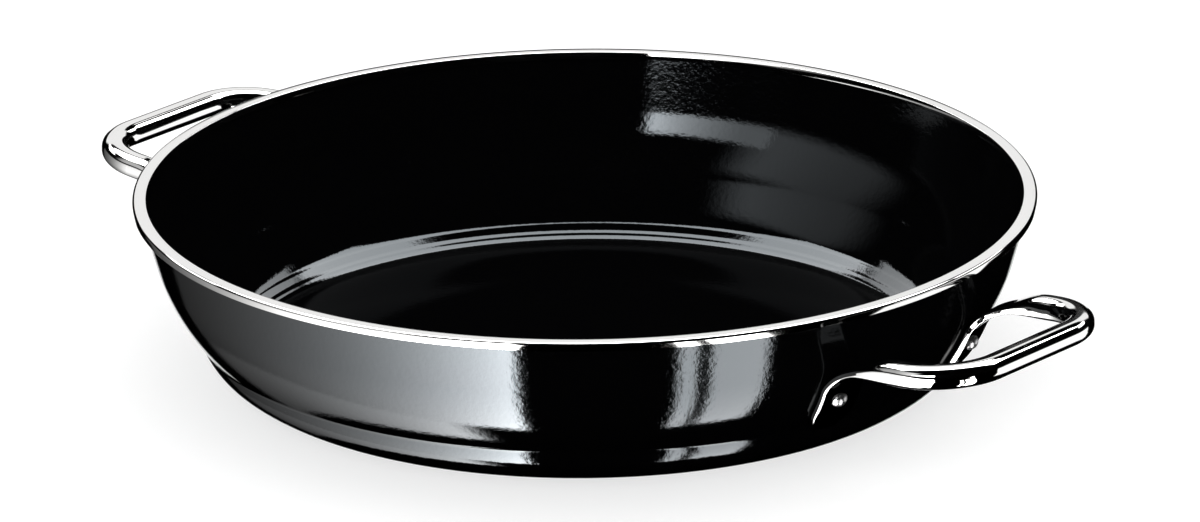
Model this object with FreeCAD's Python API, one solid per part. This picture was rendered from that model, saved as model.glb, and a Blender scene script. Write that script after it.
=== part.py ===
"""Round enamelled roasting and serving pan with a steel rim band and two side handles.

Units are millimetres. The origin is the centre of the foot ring that the pan stands on.
+Z is up, and the two handles lie along +X and -X.
"""
import FreeCAD, Part
import math
import os

from FreeCAD import Vector

os.makedirs("parts", exist_ok=True)

# Overall form of the pan
pan_height = 58.0             # foot ring to the top of the rim band
rim_radius = 145.0            # outer edge of the rim band
rim_width = 4.5               # flat top of the band, from edge to edge

# Drawn steel body
wall_thickness = 2.0
wall_lean = 15.5              # degrees from vertical, straight upper wall
wall_curve_radius = 62.0      # where the wall starts to turn in
wall_curve_height = 39.0      # the straight wall ends here
crease_height = 15.0          # stacking crease between the wall curve and the tuck
crease_blend_radius = 1.2
tuck_radius = 24.5            # round lower edge below the crease
foot_ring_width = 16.0
base_hollow = 0.8             # the middle of the base stands clear of the table
base_step_width = 5.0         # from the foot ring in to the raised middle
lip_thickness = 1.4

# Rim band
band_thickness = 0.6
band_inner_drop = 2.3         # height of the band's inner leg
band_crimp = 0.5              # the outer leg turns in below the lip by this much
band_edge = 0.25              # bevel along the upper edges
band_clearance = 0.05

# Handles
finger_gap = 30.9             # rim band to the inner side of the grip bar
grip_drop = 14.0              # rim top down to the middle of the grip bar
grip_half_span = 38.5         # middle of the handle to the middle of a leg
grip_corner_radius = 20.0
bar_width = 8.8
bar_depth = 7.6
bar_edge_radius = 3.4
leg_slope = 4.5               # degrees, the legs drop towards the pan
neck_reach = 22.5             # the neck starts this far out from the foot's outer face
neck_run = 6.0                # the neck melts into the foot over this much of its height
neck_width = 10.5             # the neck ends this wide, inside the foot
neck_inset = 0.4              # the neck ends thinner than the foot by this much
neck_hold = 15.0              # the neck keeps the leg's direction over about this length
neck_hang = 7.0               # and takes the wall's direction this far above its end
neck_shares = (0.0, 0.15, 0.3, 0.45, 0.6, 0.8, 1.0)
flat_share = 0.42             # the neck is hammered flat after this share of its way

# Feet of the handles
foot_thickness = 2.2
foot_width = 14.8
foot_drop = 21.0              # rim top down to the top of the foot
foot_toe_in = 5.0             # each foot stands nearer the handle's middle than its leg
foot_top_radius = 7.2
foot_low_radius = 7.2
foot_edge = 0.5               # bevel round the outer face
foot_clearance = 0.08         # foot to wall
crease_clearance = 0.3        # foot to crease

# Rivets
rivet_drop = 31.0             # rim top down to the middle of a rivet
rivet_shank_radius = 1.8
rivet_head_radius = 2.7
rivet_head_height = 1.8
rivet_clearance = 0.08
hole_overrun = 8.0            # the hole's cutter passes the foot by this much

seam_tolerance = 0.01         # for finding an edge by its place
full_round_share = 0.95       # of half a bar's width or depth, the most its edges are rounded

sin_lean = math.sin(math.radians(wall_lean))
cos_lean = math.cos(math.radians(wall_lean))
tan_lean = math.tan(math.radians(wall_lean))


def polar(centre, radius, degrees):
    """Point at a given distance and angle from a centre, in the XZ plane."""
    angle = math.radians(degrees)
    return Vector(centre.x + radius * math.cos(angle), 0, centre.z + radius * math.sin(angle))


def lip_top():
    """Height of the lip's upper face, right under the band."""
    return pan_height - band_thickness - band_clearance


def inner_wall_radius(height):
    """Radius of the straight upper wall's inner face at a height."""
    at_top = rim_radius - rim_width + (band_thickness + band_clearance) / cos_lean
    return at_top - (pan_height - height) * tan_lean


def curve_centre():
    """Centre of the wall curve in the XZ plane, tangent to the straight wall's outer face."""
    outer = inner_wall_radius(wall_curve_height) + wall_thickness / cos_lean
    return Vector(outer - wall_curve_radius * cos_lean, 0,
                  wall_curve_height + wall_curve_radius * sin_lean)


def base_radius():
    """Where the tuck meets the foot ring, from the height of the crease on the wall curve."""
    centre = curve_centre()
    drop = centre.z - crease_height
    crease_x = centre.x + math.sqrt(wall_curve_radius ** 2 - drop ** 2)
    return crease_x - math.sqrt(tuck_radius ** 2 - (tuck_radius - crease_height) ** 2)


def wall_profile(offset):
    """Landmarks of the wall in the XZ plane, offset outwards from the inner face.

    Returns the tangent point of the straight wall, the middle of the wall curve, the crease,
    the middle of the tuck and the edge of the foot ring, from the top downwards.
    """
    inwards = wall_thickness - offset
    upper_centre = curve_centre()
    tuck_centre = Vector(base_radius(), 0, tuck_radius)
    curve_r = wall_curve_radius - inwards
    tuck_r = tuck_radius - inwards
    crease = lower_crossing(upper_centre, curve_r, tuck_centre, tuck_r)
    curve_end = math.degrees(math.atan2(crease.z - upper_centre.z, crease.x - upper_centre.x))
    tuck_start = math.degrees(math.atan2(crease.z - tuck_centre.z, crease.x - tuck_centre.x))
    return (polar(upper_centre, curve_r, -wall_lean),
            polar(upper_centre, curve_r, (curve_end - wall_lean) / 2),
            crease,
            polar(tuck_centre, tuck_r, (tuck_start - 90) / 2),
            polar(tuck_centre, tuck_r, -90))


def lower_crossing(centre_a, radius_a, centre_b, radius_b):
    """Where two circles in the XZ plane cross, on the outer side."""
    apart = centre_b.sub(centre_a)
    distance = apart.Length
    along = (distance ** 2 + radius_a ** 2 - radius_b ** 2) / (2 * distance)
    across = math.sqrt(radius_a ** 2 - along ** 2)
    unit = apart.multiply(1 / distance)
    normal = Vector(-unit.z, 0, unit.x)
    points = [centre_a + unit * along + normal * side for side in (across, -across)]
    return max(points, key=lambda point: point.x)


def line(start, end):
    """Straight edge."""
    return Part.LineSegment(start, end).toShape()


def arc(start, middle, end):
    """Circular edge through three points."""
    return Part.Arc(start, middle, end).toShape()


def cap_arc(edge, apex_height):
    """Arc of a sphere centred on Z, from a point of the XZ plane up to the axis."""
    rise = apex_height - edge.z
    radius = (edge.x ** 2 + rise ** 2) / (2 * rise)
    circle = Part.Circle(Vector(0, 0, apex_height - radius), Vector(0, -1, 0), radius)
    start = circle.parameter(edge)
    end = circle.parameter(Vector(0, 0, apex_height))
    return Part.ArcOfCircle(circle, min(start, end), max(start, end)).toShape()


def closed_chain(points):
    """Straight edges through the points and back to the first."""
    return [line(a, b) for a, b in zip(points, points[1:] + points[:1])]


def revolved(edges):
    """Solid of revolution about Z of a closed profile in the XZ plane."""
    face = Part.Face(Part.Wire(edges))
    return face.revolve(Vector(0, 0, 0), Vector(0, 0, 1), 360)


def wall_edges(offset):
    """Edges of one face of the wall, from the straight wall down to the foot ring."""
    straight_end, curve_middle, crease, tuck_middle, ring_edge = wall_profile(offset)
    return [arc(straight_end, curve_middle, crease), arc(crease, tuck_middle, ring_edge)]


def blend_creases(solid):
    """Round the crease of the drawn wall on both faces."""
    for offset, radius in ((wall_thickness, crease_blend_radius),
                           (0.0, crease_blend_radius + wall_thickness)):
        crease = wall_profile(offset)[2]
        edges = [edge for edge in solid.Edges
                 if abs(edge.BoundBox.ZMax - crease.z) < seam_tolerance
                 and abs(edge.BoundBox.ZMin - crease.z) < seam_tolerance
                 and abs(edge.BoundBox.XMax - crease.x) < seam_tolerance]
        solid = solid.makeFillet(radius, edges)
    return solid


def make_pan_body():
    """One drawn sheet: hollow base, foot ring, tuck, crease, curved and straight wall, lip."""
    outer = wall_profile(wall_thickness)
    inner = wall_profile(0.0)
    top = lip_top()
    lip_under = top - lip_thickness
    lip_radius = rim_radius - band_thickness - band_clearance
    slant = wall_thickness / cos_lean
    wall_under_lip = Vector(inner_wall_radius(lip_under) + slant, 0, lip_under)
    inner_top = Vector(inner_wall_radius(top), 0, top)
    ring_inner = base_radius() - foot_ring_width
    panel_edge = ring_inner - base_step_width
    raised = Vector(0, 0, base_hollow)
    upwards = Vector(0, 0, wall_thickness)
    base_ring = Vector(ring_inner, 0, 0)
    base_panel = Vector(panel_edge, 0, base_hollow)
    edges = [line(raised, base_panel),
             line(base_panel, base_ring),
             line(base_ring, outer[4])]
    edges += list(reversed(wall_edges(wall_thickness)))
    edges += [line(outer[0], wall_under_lip),
              line(wall_under_lip, Vector(lip_radius, 0, lip_under)),
              line(Vector(lip_radius, 0, lip_under), Vector(lip_radius, 0, top)),
              line(Vector(lip_radius, 0, top), inner_top),
              line(inner_top, inner[0])]
    edges += wall_edges(0.0)
    edges += [line(inner[4], base_ring + upwards),
              line(base_ring + upwards, base_panel + upwards),
              line(base_panel + upwards, raised + upwards),
              line(raised + upwards, raised)]
    return blend_creases(revolved(edges))


def make_rim_band():
    """U section ring over the lip, with its outer leg crimped in below the lip."""
    under_top = pan_height - band_thickness
    lip_under = lip_top() - lip_thickness
    outer_leg = rim_radius - band_thickness
    crimp_top = lip_under - band_clearance
    crimp_bottom = crimp_top - band_crimp
    leg_bottom = pan_height - band_inner_drop
    inner_edge = rim_radius - rim_width
    leg_slant = band_thickness / cos_lean
    points = [Vector(inner_edge, 0, pan_height),
              Vector(rim_radius, 0, pan_height),
              Vector(rim_radius, 0, crimp_bottom),
              Vector(outer_leg - band_crimp, 0, crimp_bottom),
              Vector(outer_leg - band_crimp, 0, crimp_top),
              Vector(outer_leg, 0, crimp_top),
              Vector(outer_leg, 0, under_top),
              Vector(inner_edge + leg_slant - band_thickness * tan_lean, 0, under_top),
              Vector(inner_edge + leg_slant - band_inner_drop * tan_lean, 0, leg_bottom),
              Vector(inner_edge - band_inner_drop * tan_lean, 0, leg_bottom)]
    band = revolved(closed_chain(points))
    upper = [edge for edge in band.Edges if edge.BoundBox.ZMin > pan_height - seam_tolerance]
    return band.makeChamfer(band_edge, upper)


def wall_solid(offset):
    """Everything inside the wall's face that lies a given distance outside the inner face."""
    profile = wall_profile(offset)
    top = Vector(inner_wall_radius(pan_height) + offset / cos_lean, 0, pan_height)
    edges = [line(Vector(0, 0, profile[4].z), profile[4])]
    edges += list(reversed(wall_edges(offset)))
    edges += [line(profile[0], top),
              line(top, Vector(0, 0, pan_height)),
              line(Vector(0, 0, pan_height), Vector(0, 0, profile[4].z))]
    return half_turned(revolved(edges))


def oval_section(place, along, across, width, depth, edge_radius):
    """Closed wire of a bar's rounded section, square to the way it runs."""
    along = Vector(along).normalize()
    side = Vector(across).normalize()
    up = side.cross(along)
    half_w = width / 2
    half_d = depth / 2
    radius = min(edge_radius, half_w * full_round_share, half_d * full_round_share)
    edges = []
    corners = ((1, 1), (-1, 1), (-1, -1), (1, -1))
    turned = math.sqrt(0.5)

    def at(a, b):
        return place + side * a + up * b

    ends = []
    for sign_w, sign_d in corners:
        centre_w = sign_w * (half_w - radius)
        centre_d = sign_d * (half_d - radius)
        on_side = at(sign_w * half_w, centre_d)
        on_face = at(centre_w, sign_d * half_d)
        middle = at(centre_w + sign_w * radius * turned, centre_d + sign_d * radius * turned)
        first, last = (on_side, on_face) if sign_w == sign_d else (on_face, on_side)
        ends.append((first, middle, last))
    for index, (first, middle, last) in enumerate(ends):
        edges.append(arc(first, middle, last))
        edges.append(line(last, ends[(index + 1) % 4][0]))
    return Part.Wire(edges)


def wall_point(height, offset):
    """Point in the XZ plane at a height, moved off the wall's outer face by an offset.

    Returns the point and the wall's outward normal there.
    """
    if height >= wall_curve_height:
        normal = Vector(cos_lean, 0, -sin_lean)
        face = Vector(inner_wall_radius(height) + wall_thickness / cos_lean, 0, height)
        return face + normal * offset, normal
    centre = curve_centre()
    dip = math.asin((centre.z - height) / wall_curve_radius)
    normal = Vector(math.cos(dip), 0, -math.sin(dip))
    return centre + normal * (wall_curve_radius + offset), normal


def foot_top():
    """Height of the foot's upper edge."""
    return pan_height - foot_drop


def foot_low():
    """Height of the foot's lower edge, just above the crease."""
    return crease_height + crease_clearance


def rivet_height():
    """Height of a rivet on the wall's outer face."""
    return pan_height - rivet_drop


def foot_bearing():
    """Bearing of a foot's middle about the pan axis, in degrees."""
    spot = wall_point(rivet_height(), foot_clearance + foot_thickness)[0]
    return math.degrees(math.asin((grip_half_span - foot_toe_in) / spot.x))


def swung(shape):
    """Turn a shape from the XZ plane to the bearing of a foot."""
    return shape.rotated(Vector(0, 0, 0), Vector(0, 0, 1), foot_bearing())


def swung_vector(vector):
    """Turn a vector from the XZ plane to the bearing of a foot."""
    bearing = math.radians(foot_bearing())
    return Vector(vector.x * math.cos(bearing) - vector.y * math.sin(bearing),
                  vector.x * math.sin(bearing) + vector.y * math.cos(bearing), vector.z)


def grip_reach():
    """Distance from the pan axis to the middle of the grip bar."""
    return rim_radius + finger_gap + bar_width / 2


def leg_length():
    """Length of a leg along its slope, from the middle of the grip bar to the neck."""
    face = swung_vector(wall_point(foot_top(), foot_clearance + foot_thickness)[0])
    return (grip_reach() - face.x - neck_reach) / math.cos(math.radians(leg_slope))


def sloped(shape):
    """Set the flat handle loop at its height and tip its legs down towards the pan."""
    tipped = shape.rotated(Vector(0, 0, 0), Vector(0, 1, 0), -leg_slope)
    return tipped.translated(Vector(grip_reach(), 0, pan_height - grip_drop))


def sloped_point(back, y):
    """Point of the flat handle loop, a distance back from the grip bar's middle line."""
    slope = math.radians(leg_slope)
    return Vector(grip_reach() - back * math.cos(slope), y,
                  pan_height - grip_drop - back * math.sin(slope))


def make_half_grip():
    """Half of the grip bar, one rounded corner and one leg, laid flat and then sloped."""
    side = Vector(0, 1, 0)
    inwards = Vector(-1, 0, 0)
    corner = grip_corner_radius
    straight = leg_length() - corner
    at_corner = Part.Face(oval_section(Vector(-corner, grip_half_span, 0), inwards, side,
                                       bar_width, bar_depth, bar_edge_radius))
    at_bar = Part.Face(oval_section(Vector(0, grip_half_span - corner, 0), side, inwards,
                                    bar_width, bar_depth, bar_edge_radius))
    leg = at_corner.extrude(inwards * straight)
    bend = at_corner.revolve(Vector(-corner, grip_half_span - corner, 0), Vector(0, 0, -1), 90)
    bar = at_bar.extrude(side * (corner - grip_half_span))
    return sloped(bend.fuse(leg).fuse(bar))


def make_neck():
    """The bar is hammered flat, bends down at the wall and runs into the foot."""
    start = sloped_point(leg_length(), grip_half_span)
    slope = math.radians(leg_slope)
    inwards = Vector(-math.cos(slope), 0, -math.sin(slope))
    spot, normal = wall_point(foot_top() - neck_run, foot_clearance + foot_thickness / 2)
    end = swung_vector(spot)
    downwards = swung_vector(Vector(normal.z, 0, -normal.x))
    across = swung_vector(Vector(0, 1, 0))
    poles = (start, start + inwards * neck_hold, end - downwards * neck_hang, end)
    wires = []
    for share in neck_shares:
        place, along = bezier(poles, share)
        flat = eased(min(share / flat_share, 1))
        side = Vector(0, 1, 0) * (1 - share) + across * share
        side = side - along * (side.dot(along) / along.dot(along))
        wires.append(oval_section(place, along, side,
                                  bar_width + (neck_width - bar_width) * flat,
                                  bar_depth + (foot_thickness - neck_inset - bar_depth) * flat,
                                  bar_edge_radius))
    return Part.makeLoft(wires, True, False)


def eased(share):
    """Smooth step from 0 to 1."""
    return share ** 2 * (3 - 2 * share)


def bezier(poles, share):
    """Point and direction at a share of the way along a curve with four poles."""
    rest = 1 - share
    place = (poles[0] * rest ** 3 + poles[1] * (3 * rest ** 2 * share)
             + poles[2] * (3 * rest * share ** 2) + poles[3] * share ** 3)
    along = ((poles[1] - poles[0]) * rest ** 2 + (poles[2] - poles[1]) * (2 * rest * share)
             + (poles[3] - poles[2]) * share ** 2)
    return place, along


def make_foot():
    """Flattened foot: a plate of even thickness that follows the double curve of the wall."""
    block = Part.Face(foot_outline()).extrude(Vector(rim_radius, 0, 0))
    plate = block.common(wall_solid(wall_thickness + foot_clearance + foot_thickness))
    outer_edges = [edge for edge in plate.Edges if edge.BoundBox.XMin > rim_radius / 2]
    return swung(plate.makeChamfer(foot_edge, outer_edges))


def foot_outline():
    """Rounded rectangle of the foot, seen along X."""
    half = foot_width / 2
    top = foot_top()
    low = foot_low()
    top_bend = foot_top_radius * (1 - math.sqrt(0.5))
    low_bend = foot_low_radius * (1 - math.sqrt(0.5))
    edges = [line(Vector(0, foot_top_radius - half, top), Vector(0, half - foot_top_radius, top)),
             line(Vector(0, foot_low_radius - half, low), Vector(0, half - foot_low_radius, low))]
    for edge_y in (half, -half):
        inward = -1 if edge_y > 0 else 1
        edges += [arc(Vector(0, edge_y + inward * foot_top_radius, top),
                      Vector(0, edge_y + inward * top_bend, top - top_bend),
                      Vector(0, edge_y, top - foot_top_radius)),
                  line(Vector(0, edge_y, top - foot_top_radius),
                       Vector(0, edge_y, low + foot_low_radius)),
                  arc(Vector(0, edge_y, low + foot_low_radius),
                      Vector(0, edge_y + inward * low_bend, low + low_bend),
                      Vector(0, edge_y + inward * foot_low_radius, low))]
    return Part.Wire(Part.__sortEdges__(edges))


def rivet_hole():
    """Hole through the foot, square to the wall."""
    spot, normal = wall_point(rivet_height(), 0)
    through = foot_clearance + foot_thickness
    hole = Part.makeCylinder(rivet_shank_radius + rivet_clearance, through + hole_overrun,
                             spot, normal)
    return swung(hole)


def make_rivet():
    """Domed rivet: a shank seated on the wall and a low round head over the foot."""
    spot, normal = wall_point(rivet_height(), 0)
    seat = foot_clearance + foot_thickness + rivet_clearance
    tip = seat + rivet_head_height
    sunk = -wall_thickness / 2
    outline = [line(Vector(0, 0, sunk), Vector(rivet_shank_radius, 0, sunk)),
               line(Vector(rivet_shank_radius, 0, sunk), Vector(rivet_shank_radius, 0, seat)),
               line(Vector(rivet_shank_radius, 0, seat), Vector(rivet_head_radius, 0, seat)),
               cap_arc(Vector(rivet_head_radius, 0, seat), tip),
               line(Vector(0, 0, tip), Vector(0, 0, sunk))]
    rivet = revolved(outline)
    tilt = math.degrees(math.atan2(normal.x, normal.z))
    rivet = rivet.rotated(Vector(0, 0, 0), Vector(0, 1, 0), tilt).translated(spot)
    return swung(rivet.cut(wall_solid(wall_thickness)))


def mirrored(shape):
    """The same shape on the other side of the handle's middle."""
    return shape.mirror(Vector(0, 0, 0), Vector(0, 1, 0))


def make_handle():
    """One handle at +X: a single forged piece with a foot and a rivet hole at each end."""
    half = make_half_grip().fuse(make_neck()).fuse(make_foot())
    half = half.cut(wall_solid(wall_thickness + foot_clearance)).cut(rivet_hole())
    return half.fuse(mirrored(half)).removeSplitter()


def half_turned(shape):
    """The same shape on the opposite side of the pan."""
    return shape.rotated(Vector(0, 0, 0), Vector(0, 0, 1), 180)


def main():
    """Build every piece and write it to its own file."""
    handle = make_handle()
    rivets = [make_rivet(), mirrored(make_rivet())]
    rivets += [half_turned(rivet) for rivet in rivets]
    nodes = {
        "pan_body": make_pan_body(),
        "rim_band": make_rim_band(),
        "handle_right": handle,
        "handle_left": half_turned(handle),
        "handle_rivets": Part.makeCompound(rivets),
    }
    for name, shape in nodes.items():
        shape.exportStep("parts/" + name + ".step")
        print(name, "solids", len(shape.Solids), "valid", shape.isValid(),
              "volume", round(shape.Volume, 1), shape.BoundBox)


main()
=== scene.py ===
"""Round enamelled roasting and serving pan with a steel rim band and two loop handles.

Every size is in metres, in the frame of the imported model: the origin is the centre of the
foot ring, +Z is up, and the handles lie along +X and -X.
"""
import logging
import math
from dataclasses import dataclass
from enum import Enum

import bmesh
import bpy
import numpy as np
from mathutils import Matrix, Vector


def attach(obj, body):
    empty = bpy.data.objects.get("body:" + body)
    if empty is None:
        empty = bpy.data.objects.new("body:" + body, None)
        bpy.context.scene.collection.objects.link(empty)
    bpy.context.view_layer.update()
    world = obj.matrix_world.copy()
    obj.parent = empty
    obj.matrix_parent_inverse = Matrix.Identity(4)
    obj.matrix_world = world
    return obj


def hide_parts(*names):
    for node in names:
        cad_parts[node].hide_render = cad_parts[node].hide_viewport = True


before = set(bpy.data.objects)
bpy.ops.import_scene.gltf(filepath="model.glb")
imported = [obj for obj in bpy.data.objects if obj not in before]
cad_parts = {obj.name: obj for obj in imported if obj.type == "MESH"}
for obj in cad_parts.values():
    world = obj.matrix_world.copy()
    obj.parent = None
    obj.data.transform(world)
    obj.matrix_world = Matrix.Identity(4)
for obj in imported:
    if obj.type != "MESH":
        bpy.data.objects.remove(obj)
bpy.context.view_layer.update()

MM = 0.001
TURNED_SHARP = 35.0     # degrees: edges of a turned piece that turn more stay sharp
FORGED_SHARP = 40.0     # the same for a forged piece
SIDEWAYS = np.array((0.0, 1.0, 0.0))
Section = list[tuple[float, float]]
Colour = tuple[float, float, float]
Tree = bpy.types.NodeTree
Socket = bpy.types.NodeSocket
Material = bpy.types.Material
log = logging.getLogger("pan")


class Side(Enum):
    """The side of the pan that a handle is on."""

    RIGHT = ("handle_right", 0.0)
    LEFT = ("handle_left", math.pi)


def arc_points(centre: tuple[float, float], radius: float, start: float, end: float,
               count: int) -> Section:
    """Points along a circular arc in the profile plane.

    Args:
        centre: Radius and height of the arc's centre.
        radius: Radius of the arc.
        start: First angle, in degrees above the horizontal.
        end: Last angle, in degrees.
        count: Number of points.

    Returns:
        The points, first and last included.
    """
    angles = np.radians(np.linspace(start, end, count))
    return [(centre[0] + radius * math.cos(a), centre[1] + radius * math.sin(a)) for a in angles]


def rounded_corner(before: tuple[float, float], corner: tuple[float, float],
                   after: tuple[float, float], radius: float,
                   count: int = 6) -> Section:
    """Tangent arc in place of one corner of a polygon.

    Args:
        before: The corner before this one.
        corner: The corner to round.
        after: The corner after this one.
        radius: Radius of the round.
        count: Number of points on the arc.

    Returns:
        The points of the arc, from the side of before to the side of after.
    """
    here = np.array(corner)
    back = np.array(before) - here
    ahead = np.array(after) - here
    back /= np.linalg.norm(back)
    ahead /= np.linalg.norm(ahead)
    half = math.acos(float(np.clip(back @ ahead, -1, 1))) / 2
    centre = here + (back + ahead) / np.linalg.norm(back + ahead) * radius / math.sin(half)
    first = here + back * radius / math.tan(half) - centre
    last = here + ahead * radius / math.tan(half) - centre
    points = []
    for share in np.linspace(0, 1, count):
        ray = first * (1 - share) + last * share
        point = centre + ray / np.linalg.norm(ray) * radius
        points.append((float(point[0]), float(point[1])))
    return points


def eased_corner(run_in: Section, run_out: Section,
                 reach: float, count: int = 9) -> Section:
    """Join two runs that meet at a corner with a short smooth curve.

    Args:
        run_in: Points that end at the corner.
        run_out: Points that start at the corner.
        reach: How far from the corner the curve starts and ends.
        count: Number of points on the curve, with its two ends.

    Returns:
        All the points, with those nearer to the corner than reach left out.
    """
    corner = np.array(run_in[-1])
    kept_in = [p for p in run_in if np.linalg.norm(np.array(p) - corner) > reach]
    kept_out = [p for p in run_out if np.linalg.norm(np.array(p) - corner) > reach]
    start = np.array(kept_in[-1])
    end = np.array(kept_out[0])
    curve = []
    for share in np.linspace(0, 1, count)[1:-1]:
        rest = 1 - share
        point = start * rest ** 2 + corner * 2 * share * rest + end * share ** 2
        curve.append((float(point[0]), float(point[1])))
    return kept_in + curve + kept_out


def bezier(poles: tuple[np.ndarray, ...], share: float) -> tuple[np.ndarray, np.ndarray]:
    """Point and direction on a smooth curve of four poles, at a share of its way."""
    rest = 1 - share
    point = (poles[0] * rest ** 3 + poles[1] * 3 * rest ** 2 * share
             + poles[2] * 3 * rest * share ** 2 + poles[3] * share ** 3)
    along = ((poles[1] - poles[0]) * rest ** 2 + (poles[2] - poles[1]) * 2 * rest * share
             + (poles[3] - poles[2]) * share ** 2)
    return point, along


def eased(share: float) -> float:
    """Smooth step from 0 to 1, flat outside that range."""
    held = min(max(share, 0.0), 1.0)
    return held * held * (3 - 2 * held)


def lathe(name: str, profile: Section, segments: int) -> bpy.types.Object:
    """Turn a closed profile about Z into a mesh object.

    Args:
        name: Name of the new object.
        profile: Radius and height of each point. A radius of 0 gives one point on the axis.
        segments: Number of steps round the axis.

    Returns:
        The new object, smooth shaded with its sharp edges marked.
    """
    mesh = bmesh.new()
    rings = []
    for radius, height in profile:
        if radius == 0:
            rings.append([mesh.verts.new((0, 0, height))])
            continue
        steps = (2 * math.pi * k / segments for k in range(segments))
        rings.append([mesh.verts.new((radius * math.cos(a), radius * math.sin(a), height))
                      for a in steps])
    open_profile = len(rings[0]) == 1 and len(rings[-1]) == 1
    pairs = zip(rings, rings[1:] if open_profile else rings[1:] + rings[:1])
    for lower, upper in pairs:
        for k in range(segments):
            after = (k + 1) % segments
            if len(lower) == 1:
                mesh.faces.new((lower[0], upper[after], upper[k]))
            elif len(upper) == 1:
                mesh.faces.new((lower[k], lower[after], upper[0]))
            else:
                mesh.faces.new((lower[k], lower[after], upper[after], upper[k]))
    bmesh.ops.recalc_face_normals(mesh, faces=mesh.faces)
    return mesh_object(name, mesh, TURNED_SHARP)


def mesh_object(name: str, mesh: bmesh.types.BMesh, sharp_degrees: float) -> bpy.types.Object:
    """Put a finished mesh into the scene.

    Args:
        name: Name of the new object.
        mesh: The mesh, which is freed.
        sharp_degrees: Edges that turn more than this stay sharp.

    Returns:
        The new object.
    """
    data = bpy.data.meshes.new(name)
    mesh.to_mesh(data)
    mesh.free()
    for polygon in data.polygons:
        polygon.use_smooth = True
    data.set_sharp_from_angle(angle=math.radians(sharp_degrees))
    piece = bpy.data.objects.new(name, data)
    bpy.context.scene.collection.objects.link(piece)
    return piece


class Nodes:
    """A short way to add and join shader nodes in one tree."""

    def __init__(self, tree: Tree) -> None:
        """Work on one node tree."""
        self.tree = tree

    def add(self, kind: str, **settings: object) -> bpy.types.Node:
        """Add a node.

        Args:
            kind: Blender's name for the node.
            **settings: Properties to set on it.

        Returns:
            The new node.
        """
        node = self.tree.nodes.new(kind)
        for key, value in settings.items():
            setattr(node, key, value)
        return node

    def math(self, operation: str, first: object, second: object = None) -> Socket:
        """Add a Math node.

        Args:
            operation: The node's operation.
            first: A socket or a number.
            second: A socket or a number, if the operation takes two.

        Returns:
            The result's socket.
        """
        node = self.add("ShaderNodeMath", operation=operation)
        self.feed(node.inputs[0], first)
        if second is not None:
            self.feed(node.inputs[1], second)
        return node.outputs[0]

    def feed(self, socket: Socket, value: object) -> None:
        """Join a socket to another socket, or set its number."""
        if isinstance(value, Socket):
            self.tree.links.new(value, socket)
        else:
            socket.default_value = value

    def ramp(self, value: object, low: object, high: object, out_low: object = 0.0,
             out_high: object = 1.0) -> Socket:
        """Smooth step from out_low to out_high as value goes from low to high."""
        node = self.add("ShaderNodeMapRange", interpolation_type="SMOOTHSTEP")
        for index, item in enumerate((value, low, high, out_low, out_high)):
            self.feed(node.inputs[index], item)
        return node.outputs[0]

    def split(self, vector: Socket) -> bpy.types.NodeOutputs:
        """The three parts of a vector."""
        node = self.add("ShaderNodeSeparateXYZ")
        self.feed(node.inputs[0], vector)
        return node.outputs

    def turn(self, vector: Socket, axis: str, degrees: float) -> Socket:
        """Turn a vector about one of the axes."""
        node = self.add("ShaderNodeVectorRotate", rotation_type=axis)
        self.feed(node.inputs["Vector"], vector)
        node.inputs["Angle"].default_value = math.radians(degrees)
        return node.outputs[0]

    def group(self, tree: Tree, **inputs: object) -> bpy.types.Node:
        """Place a node group and set its inputs, whose names have _ for each space."""
        node = self.add("ShaderNodeGroup", node_tree=tree)
        for key, value in inputs.items():
            self.feed(node.inputs[key.replace("_", " ")], value)
        return node


def new_group(name: str, inputs: dict[str, float | None], output: str) -> tuple[Tree, Nodes]:
    """Start a shader node group that puts out one number.

    Args:
        name: Name of the group.
        inputs: Default of each named input, or None for a vector.
        output: Name of the output.

    Returns:
        The group and a builder for its nodes.
    """
    tree = bpy.data.node_groups.new(name, "ShaderNodeTree")
    for label, value in inputs.items():
        kind = "NodeSocketVector" if value is None else "NodeSocketFloat"
        socket = tree.interface.new_socket(name=label, in_out="INPUT", socket_type=kind)
        if value is not None:
            socket.default_value = value
    tree.interface.new_socket(name=output, in_out="OUTPUT", socket_type="NodeSocketFloat")
    return tree, Nodes(tree)


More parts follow.
